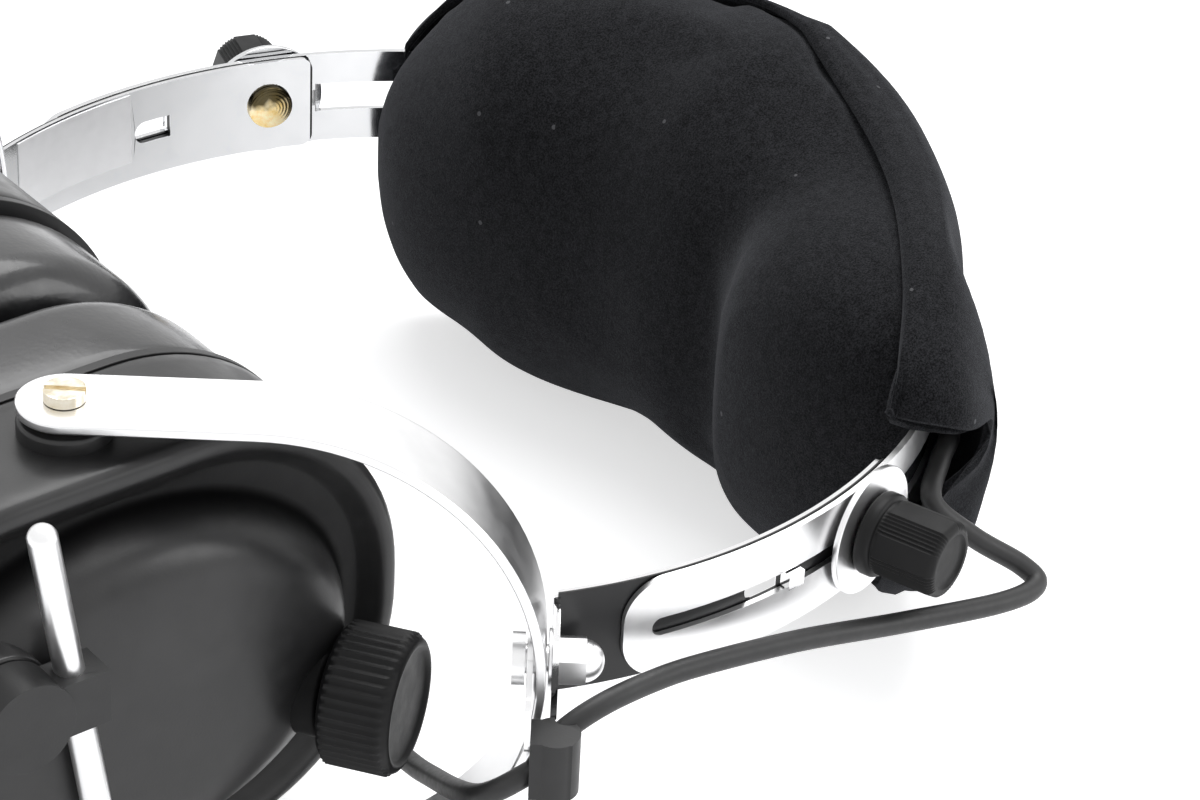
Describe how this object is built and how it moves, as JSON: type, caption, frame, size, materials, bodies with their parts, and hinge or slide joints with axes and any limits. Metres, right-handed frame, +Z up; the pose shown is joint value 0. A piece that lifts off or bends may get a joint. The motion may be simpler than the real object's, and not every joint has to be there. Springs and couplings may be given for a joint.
{
  "type": "radio headset",
  "caption": "Headset with a polished steel headband, a thick fleece head pad, black domed ear cups on swivelling yokes, clamp knobs and a cross-over lead.",
  "frame": {"origin": "centre of the bounding box on the table that the headset lies on", "axes": "+X towards the head pad (up when worn), +Y towards the right ear, +Z up from the table"},
  "size_m": [0.2692, 0.2246, 0.1],
  "materials": {
    "polished_steel": "polished",
    "brass": "polished",
    "black_plastic": "satin",
    "fleece": "napped",
    "seal_cover": "satin",
    "foam": "matte",
    "lead_jacket": "satin",
    "label_film": "matte",
    "grey_metal": "satin"
  },
  "bodies": {
    "headband": {"headband_spring": "polished_steel", "pad_cushion": "fleece", "pad_cover": "fleece", "lead_pad": "lead_jacket"},
    "left_arm_slide": {"left_arm": "polished_steel", "left_clamp_stud": "brass", "left_clamp_plate": "polished_steel", "left_swivel_bolt": "polished_steel", "left_swivel_washer": "polished_steel", "left_acorn_nut": "polished_steel", "left_lead_run": "lead_jacket"},
    "left_clamp": {"left_clamp_knob": "black_plastic"},
    "left_yoke_frame": {"left_yoke": "polished_steel", "left_clip_bracket": "polished_steel", "left_cable_clip": "black_plastic", "left_lead_hinge": "lead_jacket"},
    "left_cup": {"left_cup_shell": "black_plastic", "left_pivot_bushes": "brass", "left_pivot_screws": "brass", "left_baffle": "black_plastic", "left_baffle_screws": "polished_steel", "left_ear_seal": "seal_cover", "left_foam_liner": "foam", "left_speaker": "grey_metal", "left_cable_gland": "black_plastic", "left_volume_pot": "grey_metal", "left_lead_cup": "lead_jacket", "left_cord_inlet": "black_plastic", "boom_pivot_screw": "polished_steel"},
    "left_volume": {"left_volume_knob": "black_plastic", "left_volume_shaft": "polished_steel"},
    "boom": {"boom_hub": "black_plastic", "boom_rod": "polished_steel"},
    "right_arm_slide": {"right_arm": "polished_steel", "right_clamp_stud": "brass", "right_clamp_plate": "polished_steel", "right_swivel_bolt": "polished_steel", "right_swivel_washer": "polished_steel", "right_acorn_nut": "polished_steel", "right_lead_run": "lead_jacket", "blank_label": "label_film"},
    "right_clamp": {"right_clamp_knob": "black_plastic"},
    "right_yoke_frame": {"right_yoke": "polished_steel", "right_clip_bracket": "polished_steel", "right_cable_clip": "black_plastic", "right_lead_hinge": "lead_jacket"},
    "right_cup": {"right_cup_shell": "black_plastic", "right_pivot_bushes": "brass", "right_pivot_screws": "brass", "right_baffle": "black_plastic", "right_baffle_screws": "polished_steel", "right_ear_seal": "seal_cover", "right_foam_liner": "foam", "right_speaker": "grey_metal", "right_cable_gland": "black_plastic", "right_volume_pot": "grey_metal", "right_lead_cup": "lead_jacket"},
    "right_volume": {"right_volume_knob": "black_plastic", "right_volume_shaft": "polished_steel"}
  },
  "joints": [
    {"name": "left_arm_adjust", "type": "hinge", "parent": "headband", "child": "left_arm_slide", "pos_m": [0.028, 0, 0.05], "axis": [0, 0, -1], "range_deg": [-5, 0.8], "deforming": ["left_lead_run"]},
    {"name": "left_clamp_turn", "type": "hinge", "parent": "left_arm_slide", "child": "left_clamp", "pos_m": [0.0578, -0.09336, 0.05], "axis": [0.304, -0.9527, 0], "range_deg": [-20, 360]},
    {"name": "left_yoke_swivel", "type": "hinge", "parent": "left_arm_slide", "child": "left_yoke_frame", "pos_m": [-0.01079, -0.09421, 0.05], "axis": [0.788, -0.6157, 0], "range_deg": [-9, 9], "deforming": ["left_lead_hinge"]},
    {"name": "left_cup_pivot", "type": "hinge", "parent": "left_yoke_frame", "child": "left_cup", "pos_m": [-0.0741, -0.04474, 0.05], "axis": [0, 0, 1], "range_deg": [-6, 6], "deforming": ["left_lead_cup"]},
    {"name": "left_volume_turn", "type": "hinge", "parent": "left_cup", "child": "left_volume", "pos_m": [-0.0376, -0.06774, 0.039], "axis": [0.5736, -0.8192, 0], "range_deg": [-140, 140]},
    {"name": "boom_turn", "type": "hinge", "parent": "left_cup", "child": "boom", "pos_m": [-0.1021, -0.07074, 0.065], "axis": [0, -1, 0], "range_deg": [-35, 35]},
    {"name": "right_arm_adjust", "type": "hinge", "parent": "headband", "child": "right_arm_slide", "pos_m": [0.028, 0, 0.05], "axis": [0, 0, 1], "range_deg": [-5, 0.8], "deforming": ["right_lead_run"]},
    {"name": "right_clamp_turn", "type": "hinge", "parent": "right_arm_slide", "child": "right_clamp", "pos_m": [0.0578, 0.09336, 0.05], "axis": [0.304, 0.9527, 0], "range_deg": [-20, 360]},
    {"name": "right_yoke_swivel", "type": "hinge", "parent": "right_arm_slide", "child": "right_yoke_frame", "pos_m": [-0.01079, 0.09421, 0.05], "axis": [0.788, 0.6157, 0], "range_deg": [-9, 9], "deforming": ["right_lead_hinge"]},
    {"name": "right_cup_pivot", "type": "hinge", "parent": "right_yoke_frame", "child": "right_cup", "pos_m": [-0.0741, 0.04474, 0.05], "axis": [0, 0, 1], "range_deg": [-6, 6], "deforming": ["right_lead_cup"]},
    {"name": "right_volume_turn", "type": "hinge", "parent": "right_cup", "child": "right_volume", "pos_m": [-0.0376, 0.06774, 0.039], "axis": [0.5736, 0.8192, 0], "range_deg": [-140, 140]}
  ]
}
